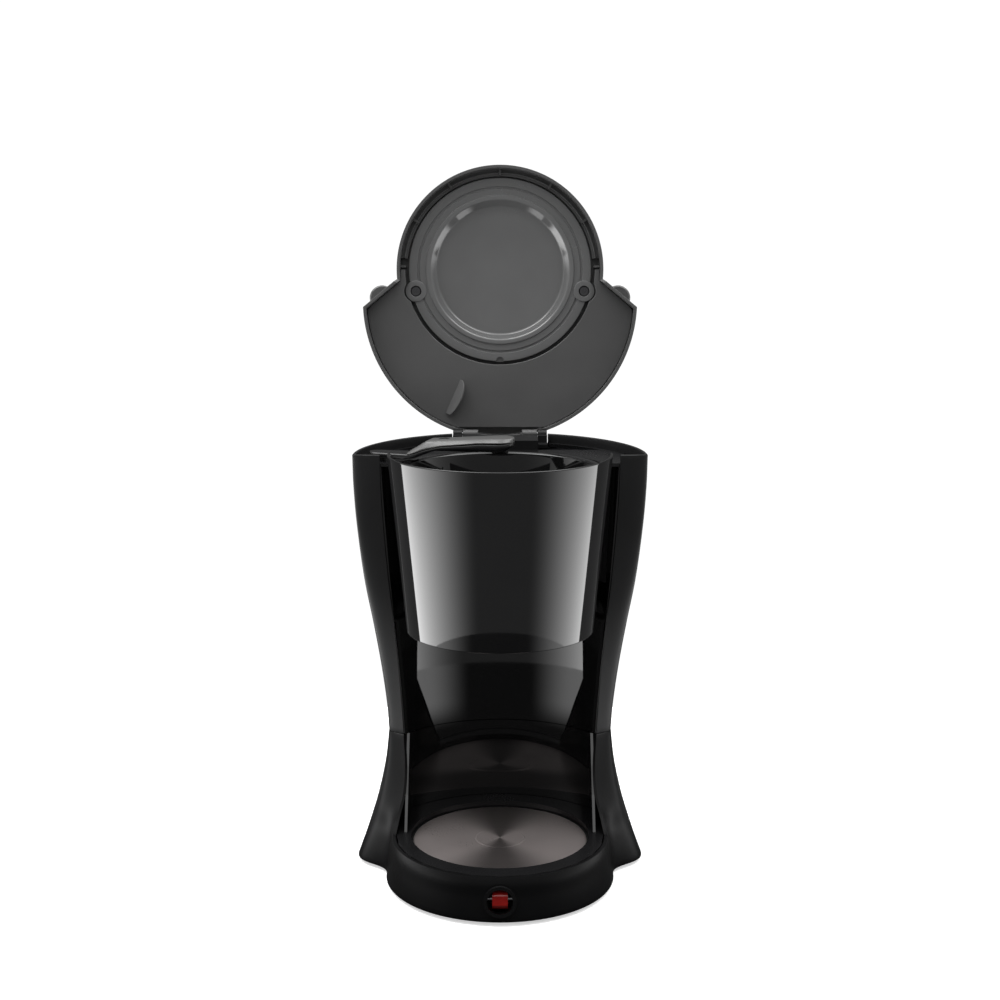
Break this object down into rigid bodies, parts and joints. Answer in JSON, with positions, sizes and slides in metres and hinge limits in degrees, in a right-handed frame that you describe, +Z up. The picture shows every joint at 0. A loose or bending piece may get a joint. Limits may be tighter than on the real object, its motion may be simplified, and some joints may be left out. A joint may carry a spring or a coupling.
{
  "type": "drip coffee maker",
  "caption": "Hourglass-shaped drip coffee maker with an opening lid, a swinging water outlet over a filter basket, a rear water tank and a keep-warm plate.",
  "frame": {"origin": "on the table plane, under the filter basket's axis", "axes": "+Z up, -Y towards the front of the machine, +X to its right seen from the front"},
  "size_m": [0.2186, 0.2805, 0.5259],
  "materials": {
    "satin_black": "satin, fine moulded grain",
    "gloss_black": "high gloss",
    "lid_grey": "satin",
    "shield_grey": "semi-gloss",
    "arm_grey": "satin",
    "tank_dark": "satin",
    "window_grey": "semi-clear grey",
    "plate_coat": "non-stick metallic coat",
    "steel": "brushed",
    "aluminium": "cast",
    "rubber_black": "matt",
    "silicone_red": "matt",
    "hose_clear": "semi-clear silicone",
    "ceramic_white": "matt",
    "rocker_red": "gloss, lit from behind"
  },
  "bodies": {
    "housing": {"rear_casing": "satin_black", "joint_frame": "gloss_black", "inner_panel": "gloss_black", "top_deck": "gloss_black", "water_tank": "tank_dark", "tank_outlet_seal": "silicone_red", "level_window": "window_grey", "front_shell": "gloss_black", "filter_housing": "gloss_black", "filter_basket": "gloss_black", "valve_cage": "gloss_black", "drip_spring": "steel", "riser_pipe": "aluminium", "arm_post": "gloss_black", "hinge_bracket": "satin_black", "hinge_pins": "steel", "base_skirt": "satin_black", "base_deck": "gloss_black", "deck_posts": "gloss_black", "bay_liner": "gloss_black", "base_plate": "satin_black", "rubber_feet": "rubber_black", "base_screws": "steel", "hotplate": "plate_coat", "hotplate_seal": "rubber_black", "heater": "aluminium", "heater_clamp": "steel", "clamp_screws": "steel", "thermostat": "ceramic_white", "thermal_fuses": "ceramic_white", "check_valve": "ceramic_white", "inlet_hose": "hose_clear", "outlet_hose": "hose_clear", "hose_clips": "steel", "switch_bezel": "gloss_black", "rocker_pin": "steel", "switch_body": "tank_dark", "terminal_block": "ceramic_white", "cord_gland": "rubber_black", "joint_screws": "steel"},
    "lid": {"lid_shell": "lid_grey", "lid_plate": "lid_grey", "steam_shield": "shield_grey", "lid_screws": "steel"},
    "arm": {"outlet_arm": "gloss_black", "arm_cover": "arm_grey"},
    "valve": {"drip_valve": "tank_dark", "drip_seal": "silicone_red"},
    "ball": {"valve_ball": "ceramic_white"},
    "rocker": {"power_rocker": "rocker_red"}
  },
  "joints": [
    {"name": "lid_hinge", "type": "hinge", "parent": "housing", "child": "lid", "pos_m": [0, 0.131, 0.3147], "axis": [-1, 0, 0], "range_deg": [-97, 0]},
    {"name": "arm_swivel", "type": "hinge", "parent": "housing", "child": "arm", "pos_m": [-0.09, 0.04, 0.315], "axis": [0, 0, 1], "range_deg": [0, 50]},
    {"name": "drip_stop_lift", "type": "slide", "parent": "housing", "child": "valve", "axis": [0, 0, 1], "range_m": [0, 0.003], "stiffness_N_per_m": 260, "springref_m": -0.004, "deforming": ["drip_spring"]},
    {"name": "check_ball_lift", "type": "slide", "parent": "housing", "child": "ball", "axis": [0, 0, 1], "range_m": [0, 0.005]},
    {"name": "power_rocker_tilt", "type": "hinge", "parent": "housing", "child": "rocker", "pos_m": [0, -0.094, 0.019], "axis": [1, 0, 0], "range_deg": [0, 18]}
  ]
}
